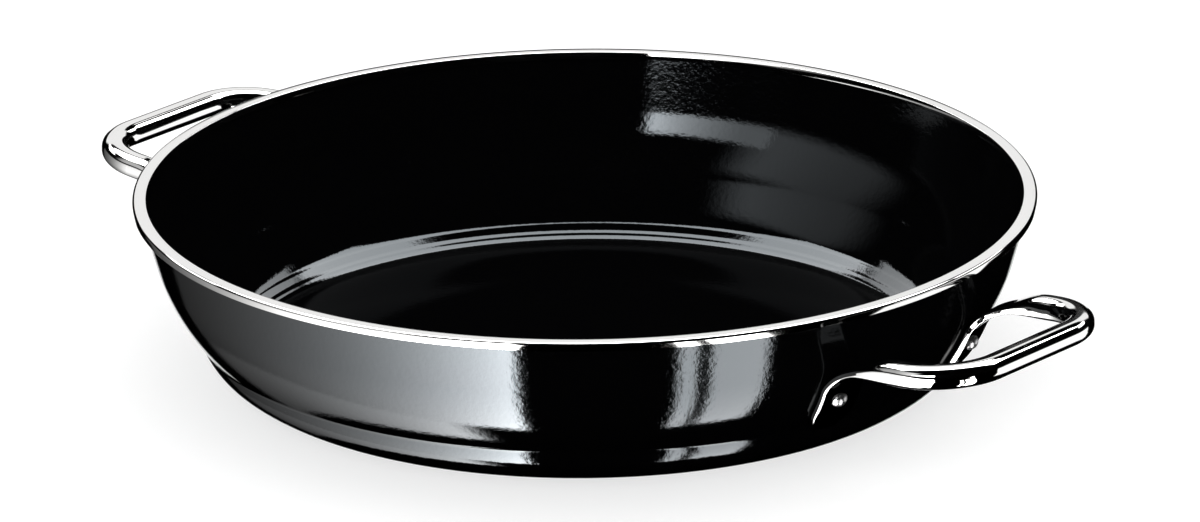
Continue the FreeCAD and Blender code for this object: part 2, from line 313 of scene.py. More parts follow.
class Effects:
    """The node groups that more than one material uses."""

    wave_detail = 2.0
    cloud_detail = 4.0
    cloud_edges = (0.35, 0.7)

    def __init__(self) -> None:
        """Build each group once."""
        self.waviness = self.build_waviness()
        self.handling = self.build_handling()

    def build_waviness(self) -> Tree:
        """Group for the slow and fine waves of a fired, pressed or polished skin.

        Returns:
            The group. It puts out a height from 0 to 1.
        """
        tree, nodes = new_group(
            "skin_waviness", {"Vector": None, "Ripple Scale": 400.0, "Grain Scale": 2500.0,
                              "Grain Share": 0.3}, "Height")
        source = nodes.add("NodeGroupInput")
        result = nodes.add("NodeGroupOutput")
        ripple = nodes.add("ShaderNodeTexNoise")
        grain = nodes.add("ShaderNodeTexNoise")
        for texture, scale in ((ripple, "Ripple Scale"), (grain, "Grain Scale")):
            nodes.feed(texture.inputs["Vector"], source.outputs["Vector"])
            nodes.feed(texture.inputs["Scale"], source.outputs[scale])
            texture.inputs["Detail"].default_value = self.wave_detail
        share = source.outputs["Grain Share"]
        fine = nodes.math("MULTIPLY", grain.outputs[0], share)
        rest = nodes.math("SUBTRACT", 1.0, share)
        slow = nodes.math("MULTIPLY", ripple.outputs[0], rest)
        nodes.feed(result.inputs["Height"], nodes.math("ADD", slow, fine))
        return tree

    def build_handling(self) -> Tree:
        """Group for the faint, cloudy marks that hands and cloths leave on a gloss.

        Returns:
            The group. It puts out a roughness that varies between two values.
        """
        tree, nodes = new_group(
            "handling_marks", {"Vector": None, "Scale": 20.0, "Clean": 0.03, "Marked": 0.06},
            "Roughness")
        source = nodes.add("NodeGroupInput")
        result = nodes.add("NodeGroupOutput")
        cloud = nodes.add("ShaderNodeTexNoise")
        nodes.feed(cloud.inputs["Vector"], source.outputs["Vector"])
        nodes.feed(cloud.inputs["Scale"], source.outputs["Scale"])
        cloud.inputs["Detail"].default_value = self.cloud_detail
        level = nodes.ramp(cloud.outputs[0], *self.cloud_edges, source.outputs["Clean"],
                           source.outputs["Marked"])
        nodes.feed(result.inputs["Roughness"], level)
        return tree


@dataclass(frozen=True)
class Finish:
    """What the pan's finishes have in common: a faint mottle, marks and waves in the skin."""

    name: str
    colour: Colour
    mottle_colour: Colour
    mottle_scale: float
    clean: float
    marked: float
    mark_scale: float
    ripple_scale: float
    grain_scale: float
    grain_share: float
    ripple_height: float

    def mottle(self, nodes: Nodes, noise: Socket) -> Socket:
        """How much of the mottle's colour shows, from a noise."""
        return noise

    def settle(self, shader: bpy.types.Node) -> None:
        """Set what this finish alone has on the shader."""

    def material(self, effects: Effects) -> Material:
        """Build the material.

        Args:
            effects: The shared node groups.

        Returns:
            The material.
        """
        made = bpy.data.materials.new(self.name)
        made.use_nodes = True
        nodes = Nodes(made.node_tree)
        shader = made.node_tree.nodes["Principled BSDF"]
        place = nodes.add("ShaderNodeTexCoord").outputs["Object"]
        noise = nodes.add("ShaderNodeTexNoise")
        nodes.feed(noise.inputs["Vector"], place)
        noise.inputs["Scale"].default_value = self.mottle_scale
        shade = nodes.add("ShaderNodeMix", data_type="RGBA")
        nodes.feed(shade.inputs["Factor"], self.mottle(nodes, noise.outputs[0]))
        shade.inputs["A"].default_value = (*self.colour, 1)
        shade.inputs["B"].default_value = (*self.mottle_colour, 1)
        nodes.feed(shader.inputs["Base Color"], shade.outputs["Result"])
        marks = nodes.group(effects.handling, Vector=place, Scale=self.mark_scale,
                            Clean=self.clean, Marked=self.marked)
        nodes.feed(shader.inputs["Roughness"], marks.outputs["Roughness"])
        waves = nodes.group(effects.waviness, Vector=place, Ripple_Scale=self.ripple_scale,
                            Grain_Scale=self.grain_scale, Grain_Share=self.grain_share)
        bump = nodes.add("ShaderNodeBump")
        bump.inputs["Strength"].default_value = 1.0
        bump.inputs["Distance"].default_value = self.ripple_height
        nodes.feed(bump.inputs["Height"], waves.outputs["Height"])
        nodes.feed(shader.inputs["Normal"], bump.outputs["Normal"])
        self.settle(shader)
        return made


@dataclass(frozen=True)
class Enamel(Finish):
    """Gloss black vitreous enamel, fired on steel, with the fine waves of its fired skin."""

    name: str = "black_enamel"
    colour: Colour = (0.0012, 0.0012, 0.0014)
    mottle_colour: Colour = (0.004, 0.004, 0.0045)
    mottle_scale: float = 1400.0
    mottle_edges: tuple[float, float] = (0.6, 0.8)
    clean: float = 0.015
    marked: float = 0.04
    mark_scale: float = 16.0
    ripple_scale: float = 600.0
    grain_scale: float = 2600.0
    grain_share: float = 0.25
    ripple_height: float = 0.000032
    gloss_tint: Colour = (0.86, 0.94, 1.0)
    gloss_index: float = 1.52

    def mottle(self, nodes: Nodes, noise: Socket) -> Socket:
        """Only the peaks of the noise show, as sparse specks."""
        return nodes.ramp(noise, *self.mottle_edges)

    def settle(self, shader: bpy.types.Node) -> None:
        """Give the glass its index and its faint blue gloss."""
        shader.inputs["IOR"].default_value = self.gloss_index
        shader.inputs["Specular Tint"].default_value = (*self.gloss_tint, 1)


@dataclass(frozen=True)
class PolishedSteel(Finish):
    """Stainless steel, polished on a wheel until it mirrors."""

    name: str = "polished_steel"
    colour: Colour = (0.86, 0.855, 0.845)
    mottle_colour: Colour = (0.8342, 0.82935, 0.81965)
    mottle_scale: float = 35.0
    clean: float = 0.035
    marked: float = 0.075
    mark_scale: float = 60.0
    ripple_scale: float = 160.0
    grain_scale: float = 1800.0
    grain_share: float = 0.15
    ripple_height: float = 0.0000015

    def settle(self, shader: bpy.types.Node) -> None:
        """Make the shader a metal."""
        shader.inputs["Metallic"].default_value = 1.0


@dataclass
class Wall:
    """The drawn wall's section, shared by the body and by what is fixed to it."""

    height: float = 58.0 * MM
    rim_radius: float = 145.0 * MM
    rim_width: float = 4.5 * MM
    band: float = 0.6 * MM
    band_gap: float = 0.05 * MM
    lip_thickness: float = 1.4 * MM
    thickness: float = 2.0 * MM
    lean: float = 15.5
    curve_radius: float = 62.0 * MM
    curve_height: float = 39.0 * MM
    crease_height: float = 15.0 * MM
    tuck_radius: float = 24.5 * MM
    tuck_dip: float = 14.5
    tuck_hold: float = 10.5 * MM
    foot_hold: float = 11.0 * MM
    curve_points: int = 44
    tuck_points: int = 60

    def inner_radius(self, height: float) -> float:
        """Radius of the straight wall's inner face at a height."""
        top = self.rim_radius - self.rim_width
        top += (self.band + self.band_gap) / math.cos(math.radians(self.lean))
        return top - (self.height - height) * math.tan(math.radians(self.lean))

    def outer_radius(self, height: float) -> float:
        """Radius of the straight wall's outer face at a height."""
        return self.inner_radius(height) + self.thickness / math.cos(math.radians(self.lean))

    def curve_centre(self) -> tuple[float, float]:
        """Centre of the wall curve."""
        lean = math.radians(self.lean)
        return (self.outer_radius(self.curve_height) - self.curve_radius * math.cos(lean),
                self.curve_height + self.curve_radius * math.sin(lean))

    def crease(self) -> tuple[float, float]:
        """Where the wall curve ends on the outer face."""
        centre = self.curve_centre()
        drop = centre[1] - self.crease_height
        return centre[0] + math.sqrt(self.curve_radius ** 2 - drop ** 2), self.crease_height

    def base_radius(self) -> float:
        """Radius at which the tuck meets the foot ring."""
        rise = self.tuck_radius - self.crease_height
        return self.crease()[0] - math.sqrt(self.tuck_radius ** 2 - rise ** 2)

    def tuck(self) -> tuple[np.ndarray, np.ndarray]:
        """The tuck's outer face, from the crease down to the foot ring.

        Returns:
            The points, and how far each one's outward normal dips below the horizontal, in
            degrees.
        """
        start = np.array(self.crease())
        end = np.array((self.base_radius(), 0.0))
        dip = math.radians(self.tuck_dip)
        poles = (start, start - np.array((math.sin(dip), math.cos(dip))) * self.tuck_hold,
                 end + np.array((self.foot_hold, 0.0)), end)
        curve = [bezier(poles, share) for share in np.linspace(0, 1, self.tuck_points)]
        dips = [math.degrees(math.atan2(-along[0], -along[1])) for _, along in curve]
        return np.array([point for point, _ in curve]), np.array(dips)

    def runs(self) -> tuple[Section, Section]:
        """The outer face below the straight wall, as two runs that meet at the crease.

        Returns:
            The run from the straight wall down to the crease, and the run from the crease
            down to the foot ring.
        """
        centre = self.curve_centre()
        corner = self.crease()
        low = math.degrees(math.atan2(corner[1] - centre[1], corner[0] - centre[0]))
        curve = arc_points(centre, self.curve_radius, -self.lean, low, self.curve_points)
        return curve, [(float(r), float(z)) for r, z in self.tuck()[0]]

    def outer_point(self, height: float, offset: float) -> tuple[np.ndarray, np.ndarray]:
        """A point off the outer face, in the XZ plane.

        Args:
            height: Height of the point on the face.
            offset: Distance off the face.

        Returns:
            The point and the face's outward normal there.
        """
        lean = math.radians(self.lean)
        if height >= self.curve_height:
            normal = np.array((math.cos(lean), 0.0, -math.sin(lean)))
            return np.array((self.outer_radius(height), 0.0, height)) + normal * offset, normal
        centre = self.curve_centre()
        dip = math.asin((centre[1] - height) / self.curve_radius)
        normal = np.array((math.cos(dip), 0.0, -math.sin(dip)))
        middle = np.array((centre[0], 0.0, centre[1]))
        return middle + normal * (self.curve_radius + offset), normal


@dataclass
class PanBody:
    """The enamelled bowl, from its hollow base to the lip under the rim band."""

    wall: Wall
    foot_ring: float = 16.0 * MM
    hollow: float = 0.8 * MM
    hollow_step: float = 5.0 * MM
    soft_start: float = 36.0
    soft_hold: float = 2.8 * MM
    rings_start: float = 52.0
    rings: tuple[tuple[float, float], ...] = (
        (0.9 * MM, 57.0), (0.6 * MM, 50.0), (2.2 * MM, 50.0), (0.5 * MM, 57.0), (0.9 * MM, 59.0),
        (0.5 * MM, 51.0), (0.5 * MM, 51.0), (0.5 * MM, 58.0), (0.9 * MM, 60.0), (2.0 * MM, 90.0))
    rings_points: int = 8
    crease_reach: float = 1.0 * MM
    inside_points: int = 40
    soft_points: int = 24
    wall_points: int = 8
    upper_points: int = 10
    floor_points: int = 12
    step_points: int = 17
    segments: int = 448

    def inner_crease(self) -> Section:
        """The soft inside of the crease, from the wall curve to the first pressed ring.

        Returns:
            Radius and height of each point, downwards.
        """
        wall = self.wall
        tilt = math.radians(self.soft_start)
        radius = wall.curve_radius - wall.thickness
        centre = wall.curve_centre()
        start = np.array((centre[0] + radius * math.cos(tilt), centre[1] - radius * math.sin(tilt)))
        end = np.array(self.ring_start_point())
        down = math.radians(self.rings_start)
        poles = (start, start - np.array((math.sin(tilt), math.cos(tilt))) * self.soft_hold,
                 end + np.array((math.sin(down), math.cos(down))) * self.soft_hold, end)
        curve = [bezier(poles, share)[0] for share in np.linspace(0, 1, self.soft_points)]
        return [(float(point[0]), float(point[1])) for point in curve]

    def ring_start_point(self) -> tuple[float, float]:
        """Where the pressed rings start, on the inner face of the tuck."""
        points, dips = self.wall.tuck()
        dip = math.radians(self.rings_start)
        radius = float(np.interp(self.rings_start, dips, points[:, 0]))
        height = float(np.interp(self.rings_start, dips, points[:, 1]))
        thickness = self.wall.thickness
        return radius - thickness * math.cos(dip), height + thickness * math.sin(dip)

    def pressed_rings(self) -> Section:
        """The fine rings pressed round the edge of the floor.

        Each ring is a length along the section and the tilt of the face at its end, in
        degrees from upright. The lengths are stretched together to end level with the floor.

        Returns:
            Radius and height of each point, down to the floor.
        """
        steps, angles = [], []
        last = self.rings_start
        for length, tilt in self.rings:
            for share in np.linspace(0, 1, self.rings_points + 1)[1:]:
                steps.append(length / self.rings_points)
                angles.append(math.radians(last + (tilt - last) * eased(share)))
            last = tilt
        drop = sum(step * math.cos(angle) for step, angle in zip(steps, angles))
        radius, height = self.ring_start_point()
        stretch = (height - self.wall.thickness) / drop
        run = []
        for step, angle in zip(steps, angles):
            radius -= step * stretch * math.sin(angle)
            height -= step * stretch * math.cos(angle)
            run.append((radius, height))
        return run

    def profile(self) -> Section:
        """The closed section of the sheet, from the axis below to the axis above.

        Returns:
            Radius and height of each point.
        """
        wall = self.wall
        ring = wall.base_radius() - self.foot_ring
        panel = ring - self.hollow_step
        top = wall.height - wall.band - wall.band_gap
        lip_under = top - wall.lip_thickness
        lip_edge = wall.rim_radius - wall.band - wall.band_gap
        outer_curve, outer_tuck = wall.runs()
        outer = eased_corner(outer_curve, outer_tuck, self.crease_reach)
        inner = arc_points(wall.curve_centre(), wall.curve_radius - wall.thickness,
                           -wall.lean, -self.soft_start, self.inside_points)[:-1]
        inner += self.inner_crease() + self.pressed_rings()
        lower = [(0.0, self.hollow), (panel / 2, self.hollow)]
        lower += self.panel_step(panel, ring) + outer[::-1]
        straight = [(wall.outer_radius(h), h)
                    for h in np.linspace(wall.curve_height, lip_under, self.wall_points)[1:]]
        lip = [(lip_edge, lip_under), (lip_edge, top), (wall.inner_radius(top), top)]
        down = [(wall.inner_radius(h), h)
                for h in np.linspace(top, wall.curve_height, self.upper_points)[1:-1]]
        floor = [(ring * rest, wall.thickness + self.hollow * (1 - rest ** 2))
                 for rest in np.linspace(1, 0, self.floor_points)]
        return lower + straight + lip + down + inner + floor

    def panel_step(self, panel: float, ring: float) -> Section:
        """The base's soft step, from its raised middle's radius out to the foot ring's."""
        return [(panel + (ring - panel) * share, self.hollow * (1 - eased(share)))
                for share in np.linspace(0, 1, self.step_points)]

    def build(self, enamel: Material) -> bpy.types.Object:
        """Turn the bowl and dress it.

        Args:
            enamel: The bowl's finish.

        Returns:
            The bowl.
        """
        bowl = lathe("enamel_bowl", self.profile(), self.segments)
        bowl.data.materials.append(enamel)
        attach(bowl, "root")
        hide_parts("pan_body")
        log.info("enamel_bowl: %d faces", len(bowl.data.polygons))
        return bowl


@dataclass
class RimBand:
    """The steel band pressed over the lip."""

    wall: Wall
    inner_drop: float = 2.3 * MM
    crimp: float = 0.5 * MM
    outer_lean: float = 0.2 * MM
    outer_round: float = 0.9 * MM
    inner_round: float = 0.35 * MM
    hem_round: float = 0.2 * MM
    tight: float = 0.08 * MM
    segments: int = 448

    def profile(self) -> Section:
        """The closed U section of the band.

        Returns:
            Radius and height of each point.
        """
        wall = self.wall
        slope = math.tan(math.radians(wall.lean))
        leg = wall.band / math.cos(math.radians(wall.lean))
        inner = wall.rim_radius - wall.rim_width
        under = wall.height - wall.band
        crimp_top = wall.height - wall.band - 2 * wall.band_gap - wall.lip_thickness
        crimp_low = crimp_top - self.crimp
        leg_low = wall.height - self.inner_drop
        outer_leg = wall.rim_radius - wall.band
        corners = [((inner, wall.height), self.inner_round),
                   ((wall.rim_radius, wall.height), self.outer_round),
                   ((wall.rim_radius - self.outer_lean, crimp_low), self.hem_round),
                   ((outer_leg - self.crimp, crimp_low), self.hem_round),
                   ((outer_leg - self.crimp, crimp_top), self.tight),
                   ((outer_leg, crimp_top), self.tight),
                   ((outer_leg, under), self.tight),
                   ((inner + leg - wall.band * slope, under), self.tight),
                   ((inner + leg - self.inner_drop * slope, leg_low), self.tight),
                   ((inner - self.inner_drop * slope, leg_low), self.hem_round)]
        points = []
        for index, (corner, radius) in enumerate(corners):
            before = corners[index - 1][0]
            after = corners[(index + 1) % len(corners)][0]
            points += rounded_corner(before, corner, after, radius)
        return points

    def build(self, steel: Material) -> bpy.types.Object:
        """Turn the band and dress it.

        Args:
            steel: The band's finish.

        Returns:
            The band.
        """
        band = lathe("steel_rim", self.profile(), self.segments)
        band.data.materials.append(steel)
        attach(band, "root")
        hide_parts("rim_band")
        log.info("steel_rim: %d faces", len(band.data.polygons))
        return band


@dataclass
class Station:
    """One cross-section of a handle."""

    place: np.ndarray
    along: np.ndarray
    across: np.ndarray
    width: float
    depth: float
    edge: float
    hug: float = 0.0
    fullest_edge: float = 0.98

    def ring(self, corner_steps: int, flat_steps: int, wrap_radius: float) -> list[np.ndarray]:
        """Points round the section.

        Args:
            corner_steps: Steps on each rounded corner.
            flat_steps: Steps on each flat.
            wrap_radius: Radius of the wall that a flattened section bends round.

        Returns:
            The points, in order round the section.
        """
        along = self.along / np.linalg.norm(self.along)
        across = self.across - along * float(self.across @ along)
        across /= np.linalg.norm(across)
        outward = np.cross(along, across)
        half_w, half_d = self.width / 2, self.depth / 2
        edge = min(self.edge, half_w * self.fullest_edge, half_d * self.fullest_edge)
        flat_points: Section = []
        for quarter, (sign_w, sign_d) in enumerate(((1, 1), (-1, 1), (-1, -1), (1, -1))):
            centre = (sign_w * (half_w - edge), sign_d * (half_d - edge))
            start = quarter * 90
            corner = [(centre[0] + edge * math.cos(a), centre[1] + edge * math.sin(a))
                      for a in np.radians(np.linspace(start, start + 90, corner_steps + 1))]
            if flat_points:
                flat_points += self.between(flat_points[-1], corner[0], flat_steps)
            flat_points += corner
        flat_points += self.between(flat_points[-1], flat_points[0], flat_steps)
        sink = self.hug / (2 * wrap_radius)
        return [self.place + across * u + outward * (v - sink * u * u) for u, v in flat_points]

    @staticmethod
    def between(start: tuple[float, float], end: tuple[float, float],
                steps: int) -> Section:
        """Even points strictly between two others."""
        shares = np.linspace(0, 1, steps + 1)[1:-1]
        return [(start[0] * (1 - s) + end[0] * s, start[1] * (1 - s) + end[1] * s)
                for s in shares]


@dataclass
class Handle:
    """One bent and forged steel handle, with a flattened foot at each end."""

    wall: Wall
    finger_gap: float = 30.9 * MM
    drop: float = 14.0 * MM
    half_span: float = 38.5 * MM
    corner: float = 20.0 * MM
    bar_width: float = 8.8 * MM
    bar_depth: float = 7.6 * MM
    bar_edge: float = 3.4 * MM
    slope: float = 4.5
    neck_reach: float = 22.5 * MM
    neck_run: float = 6.0 * MM
    neck_width: float = 10.5 * MM
    neck_hold: float = 15.0 * MM
    neck_hang: float = 7.0 * MM
    flat_share: float = 0.42
    spread_share: float = 0.6
    foot_thickness: float = 2.2 * MM
    foot_width: float = 14.8 * MM
    foot_drop: float = 21.0 * MM
    foot_toe_in: float = 5.0 * MM
    foot_low_round: float = 7.2 * MM
    foot_edge: float = 0.7 * MM
    foot_gap: float = 0.08 * MM
    crease_gap: float = 0.3 * MM
    rivet_drop: float = 31.0 * MM
    toe_edge_share: float = 0.45
    bar_points: int = 12
    bend_points: int = 30
    neck_points: int = 48
    foot_points: int = 12
    toe_points: int = 26
    section_corner: int = 10
    section_flat: int = 8

    def foot_top(self) -> float:
        """Height of the foot's upper edge."""
        return self.wall.height - self.foot_drop

    def foot_low(self) -> float:
        """Height of the foot's lower edge."""
        return self.wall.crease_height + self.crease_gap

    def rivet_height(self) -> float:
        """Height of a rivet on the wall's outer face."""
        return self.wall.height - self.rivet_drop

    def bearing(self) -> float:
        """Bearing of a foot's middle about the pan axis, in radians."""
        spot = self.wall.outer_point(self.rivet_height(), self.foot_gap + self.foot_thickness)[0]
        return math.asin((self.half_span - self.foot_toe_in) / spot[0])

    def swung(self, vector: np.ndarray) -> np.ndarray:
        """Turn a vector of the XZ plane to the bearing of a foot."""
        turn = self.bearing()
        return np.array((vector[0] * math.cos(turn) - vector[1] * math.sin(turn),
                         vector[0] * math.sin(turn) + vector[1] * math.cos(turn), vector[2]))

    def loop_point(self, back: float, y: float) -> np.ndarray:
        """Point of the flat loop, a distance back from the grip bar's middle line."""
        slope = math.radians(self.slope)
        reach = self.wall.rim_radius + self.finger_gap + self.bar_width / 2
        return np.array((reach - back * math.cos(slope), y,
                         self.wall.height - self.drop - back * math.sin(slope)))

    def leg_length(self) -> float:
        """Length of a leg, from the middle of the grip bar to the neck."""
        offset = self.foot_gap + self.foot_thickness
        face = self.swung(self.wall.outer_point(self.foot_top(), offset)[0])
        reach = self.wall.rim_radius + self.finger_gap + self.bar_width / 2
        return (reach - face[0] - self.neck_reach) / math.cos(math.radians(self.slope))

    def bar_station(self, place: np.ndarray, along: np.ndarray) -> Station:
        """A section of the plain bar, whose across direction lies in the loop's plane."""
        slope = math.radians(self.slope)
        up = np.array((-math.sin(slope), 0.0, math.cos(slope)))
        return Station(place, along, np.cross(up, along), self.bar_width, self.bar_depth,
                       self.bar_edge)

    def half_stations(self) -> list[Station]:
        """Sections from the middle of the grip bar to the end of one foot.

        Returns:
            The sections, in order.
        """
        slope = math.radians(self.slope)
        inwards = np.array((-math.cos(slope), 0.0, -math.sin(slope)))
        stations = []
        bar_end = self.half_span - self.corner
        for y in np.linspace(0, bar_end, self.bar_points)[:-1]:
            stations.append(self.bar_station(self.loop_point(0, y), SIDEWAYS))
        for angle in np.radians(np.linspace(0, 90, self.bend_points)):
            back = self.corner * (1 - math.cos(angle))
            y = bar_end + self.corner * math.sin(angle)
            along = SIDEWAYS * math.cos(angle) + inwards * math.sin(angle)
            stations.append(self.bar_station(self.loop_point(back, y), along))
        for back in np.linspace(self.corner, self.leg_length(), self.bar_points)[1:-1]:
            stations.append(self.bar_station(self.loop_point(back, self.half_span), inwards))
        return stations + self.neck_stations(inwards) + self.foot_stations()

    def neck_stations(self, inwards: np.ndarray) -> list[Station]:
        """Sections of the neck, where the bar bends down, flattens and spreads.

        Args:
            inwards: The direction of the leg.

        Returns:
            The sections, in order.
        """
        start = self.loop_point(self.leg_length(), self.half_span)
        offset = self.foot_gap + self.foot_thickness / 2
        spot, normal = self.wall.outer_point(self.foot_top() - self.neck_run, offset)
        end = self.swung(spot)
        downwards = self.swung(np.array((normal[2], 0.0, -normal[0])))
        across = self.swung(SIDEWAYS)
        poles = (start, start + inwards * self.neck_hold, end - downwards * self.neck_hang, end)
        stations = []
        for share in np.linspace(0, 1, self.neck_points):
            place, along = bezier(poles, share)
            flat = eased(share / self.flat_share)
            spread = eased((share - self.spread_share) / (1 - self.spread_share))
            side = SIDEWAYS * (1 - share) + across * share
            width = self.bar_width + (self.neck_width - self.bar_width) * flat
            stations.append(Station(
                place, along, -side,
                width + (self.foot_width - width) * spread,
                self.bar_depth + (self.foot_thickness - self.bar_depth) * flat,
                self.bar_edge + (self.foot_edge - self.bar_edge) * flat, share))
        return stations

    def foot_stations(self) -> list[Station]:
        """Sections of the foot, down the wall to its rounded lower end.

        Returns:
            The sections, in order.
        """
        offset = self.foot_gap + self.foot_thickness / 2
        across = self.swung(SIDEWAYS)
        start = self.foot_top() - self.neck_run
        low = self.foot_low()
        heights = list(np.linspace(start, low + self.foot_low_round, self.foot_points)[1:])
        heights += [low + self.foot_low_round * (1 - math.sin(a))
                    for a in np.radians(np.linspace(0, 90, self.toe_points))[1:]]
        stations = []
        for height in heights:
            spot, normal = self.wall.outer_point(height, offset)
            width = self.foot_width - 2 * self.taken_by_round(height - low, self.foot_low_round)
            depth = self.foot_thickness - 2 * self.taken_by_round(height - low, self.foot_edge)
            stations.append(Station(
                self.swung(spot), self.swung(np.array((normal[2], 0.0, -normal[0]))), -across,
                width, depth, min(self.foot_edge, depth * self.toe_edge_share), 1.0))
        return stations

    @staticmethod
    def taken_by_round(left: float, radius: float) -> float:
        """How far a rounded end has drawn in from one side, a distance from the tip."""
        short = max(radius - left, 0)
        return radius - math.sqrt(max(radius ** 2 - short ** 2, 0))

    def mesh(self, turn: float) -> bmesh.types.BMesh:
        """Skin the sections into one closed mesh.

        Args:
            turn: Bearing of the handle about the pan axis, in radians.

        Returns:
            The mesh.
        """
        half = [station.ring(self.section_corner, self.section_flat, self.wall.rim_radius)
                for station in self.half_stations()]
        flip = np.array((1.0, -1.0, 1.0))
        other = [[point * flip for point in ring] for ring in half[1:]]
        rings = other[::-1] + half
        count = len(half[0])
        spin = Matrix.Rotation(turn, 3, "Z")
        mesh = bmesh.new()
        loops = [[mesh.verts.new(spin @ Vector(point)) for point in ring] for ring in rings]
        for first, second in zip(loops, loops[1:]):
            for k in range(count):
                after = (k + 1) % count
                mesh.faces.new((first[k], first[after], second[after], second[k]))
        mesh.faces.new(loops[0][::-1])
        mesh.faces.new(loops[-1])
        bmesh.ops.recalc_face_normals(mesh, faces=mesh.faces)
        return mesh

    def build(self, side: Side, steel: Material) -> bpy.types.Object:
        """Make one handle and dress it.

        Args:
            side: The side of the pan.
            steel: The handle's finish.

        Returns:
            The handle.
        """
        node, turn = side.value
        grip = mesh_object("steel_" + node, self.mesh(turn), FORGED_SHARP)
        grip.data.materials.append(steel)
        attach(grip, "root")
        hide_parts(node)
        log.info("%s: %d faces", grip.name, len(grip.data.polygons))
        return grip


@dataclass
class Rivets:
    """The four domed rivets that hold the feet to the wall."""

    handle: Handle
    shank: float = 1.8 * MM
    head: float = 2.7 * MM
    dome: float = 1.8 * MM
    gap: float = 0.08 * MM
    cap_points: int = 16
    segments: int = 48

    def profile(self) -> Section:
        """Section of one rivet, from the wall's face up to the top of its head.

        Returns:
            Radius and height of each point.
        """
        seat = self.handle.foot_gap + self.handle.foot_thickness + self.gap
        radius = (self.head ** 2 + self.dome ** 2) / (2 * self.dome)
        centre = seat + self.dome - radius
        start = math.degrees(math.atan2(seat - centre, self.head))
        cap = arc_points((0.0, centre), radius, start, 90, self.cap_points)[:-1]
        return [(0.0, 0.0), (self.shank, 0.0), (self.shank, seat)] + cap + [(0.0, seat + self.dome)]

    def build(self, steel: Material) -> bpy.types.Object:
        """Make the rivets as one piece and dress it.

        Args:
            steel: The rivets' finish.

        Returns:
            The rivets.
        """
        handle = self.handle
        wall = handle.wall
        spot, normal = wall.outer_point(handle.rivet_height(), 0.0)
        single = lathe("rivet", self.profile(), self.segments)
        mesh = bmesh.new()
        tilt = Matrix.Rotation(math.atan2(normal[0], normal[2]), 4, "Y")
        for side in Side:
            for hand in (1, -1):
                swing = Matrix.Rotation(side.value[1] + hand * handle.bearing(), 4, "Z")
                place = swing @ Matrix.Translation(Vector(spot)) @ tilt
                copy = single.data.copy()
                copy.transform(place)
                mesh.from_mesh(copy)
                bpy.data.meshes.remove(copy)
        bpy.data.objects.remove(single)
        piece = mesh_object("steel_rivets", mesh, TURNED_SHARP)
        piece.data.materials.append(steel)
        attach(piece, "root")
        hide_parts("handle_rivets")
        log.info("steel_rivets: %d faces", len(piece.data.polygons))
        return piece


@dataclass(frozen=True)
class PhotoView:
    """The camera. Pixel values are in the photograph's frame of 1200 by 522."""

    frame_px: tuple[int, int] = (1200, 522)
    rim_centre_px: tuple[float, float] = (584.72, 189.41)
    rim_radius_px: float = 452.56
    elevation: float = 19.058
    roll: float = -0.537
    turn: float = 40.1
    distance_in_radii: float = 22.0
    sensor: float = 36.0
    sees_to: float = 60.0

    def build(self, wall: Wall) -> bpy.types.Object:
        """Place the camera.

        Args:
            wall: The wall, for the size and height of the rim.

        Returns:
            The camera.
        """
        width, height = self.frame_px
        data = bpy.data.cameras.new("photo_camera")
        camera = bpy.data.objects.new("photo_camera", data)
        bpy.context.scene.collection.objects.link(camera)
        bpy.context.scene.camera = camera
        distance = self.distance_in_radii * wall.rim_radius
        rise = math.radians(self.elevation)
        aim = (Matrix.Rotation(math.radians(self.turn), 4, "Z")
               @ Matrix.Rotation(math.pi / 2 - rise, 4, "X")
               @ Matrix.Rotation(math.radians(self.roll), 4, "Z"))
        stand = Matrix.Rotation(math.radians(self.turn), 3, "Z") @ Vector(
            (0, -distance * math.cos(rise), distance * math.sin(rise)))
        camera.matrix_world = Matrix.Translation(stand + Vector((0, 0, wall.height))) @ aim
        data.sensor_width = self.sensor
        data.lens = self.rim_radius_px * self.distance_in_radii * self.sensor / width
        data.shift_x = -(self.rim_centre_px[0] - width / 2) / width
        data.shift_y = (self.rim_centre_px[1] - height / 2) / width
        data.clip_end = self.sees_to
        return camera


@dataclass(frozen=True)
class Card:
    """One soft light panel of the studio, as the gloss of the pan mirrors it.

    Bearings are in degrees from the camera's side of the pan, positive to the right, and
    elevations in degrees above the horizontal. A tilt tips the panel's own frame away from
    the camera. A fall makes the light fade from the right edge to the left, to about a third
    over that many degrees. The skyline is the true elevation above which the panel ends.
    """

    left: float
    right: float
    low: float
    high: float
    brightness: float
    tilt: float = 0.0
    fall: float = 10000.0
    side_feather: float = 1.0
    height_feather: float = 1.0
    skyline: float = 90.0
    behind: bool = False

    def place(self, nodes: Nodes, direction: Socket) -> tuple[Socket, Socket]:
        """Bearing and elevation of a direction in the panel's own frame.

        Args:
            nodes: Builder of the world's nodes.
            direction: Direction seen from the pan, with Y away from the camera.

        Returns:
            The bearing and the elevation, in degrees.
        """
        right, away, up = nodes.split(nodes.turn(direction, "X_AXIS", -self.tilt))
        ahead = away if self.behind else nodes.math("MULTIPLY", away, -1.0)
        per_radian = math.degrees(1)
        bearing = nodes.math("MULTIPLY", nodes.math("ARCTAN2", right, ahead), per_radian)
        return bearing, nodes.math("MULTIPLY", nodes.math("ARCSINE", up), per_radian)


@dataclass(frozen=True)
class Ceiling(Card):
    """One flat light panel overhead, in units of its height above the pan.

    Left and right are seen from the camera. Low is its far edge and high its near one.
    """

    side_feather: float = 0.03
    height_feather: float = 0.03
    least_rise: float = 0.001

    def place(self, nodes: Nodes, direction: Socket) -> tuple[Socket, Socket]:
        """Where a direction meets the ceiling, to the right and towards the camera."""
        right, away, up = nodes.split(direction)
        height = nodes.math("MAXIMUM", up, self.least_rise)
        near = nodes.math("MULTIPLY", nodes.math("DIVIDE", away, height), -1.0)
        return nodes.math("DIVIDE", right, height), near


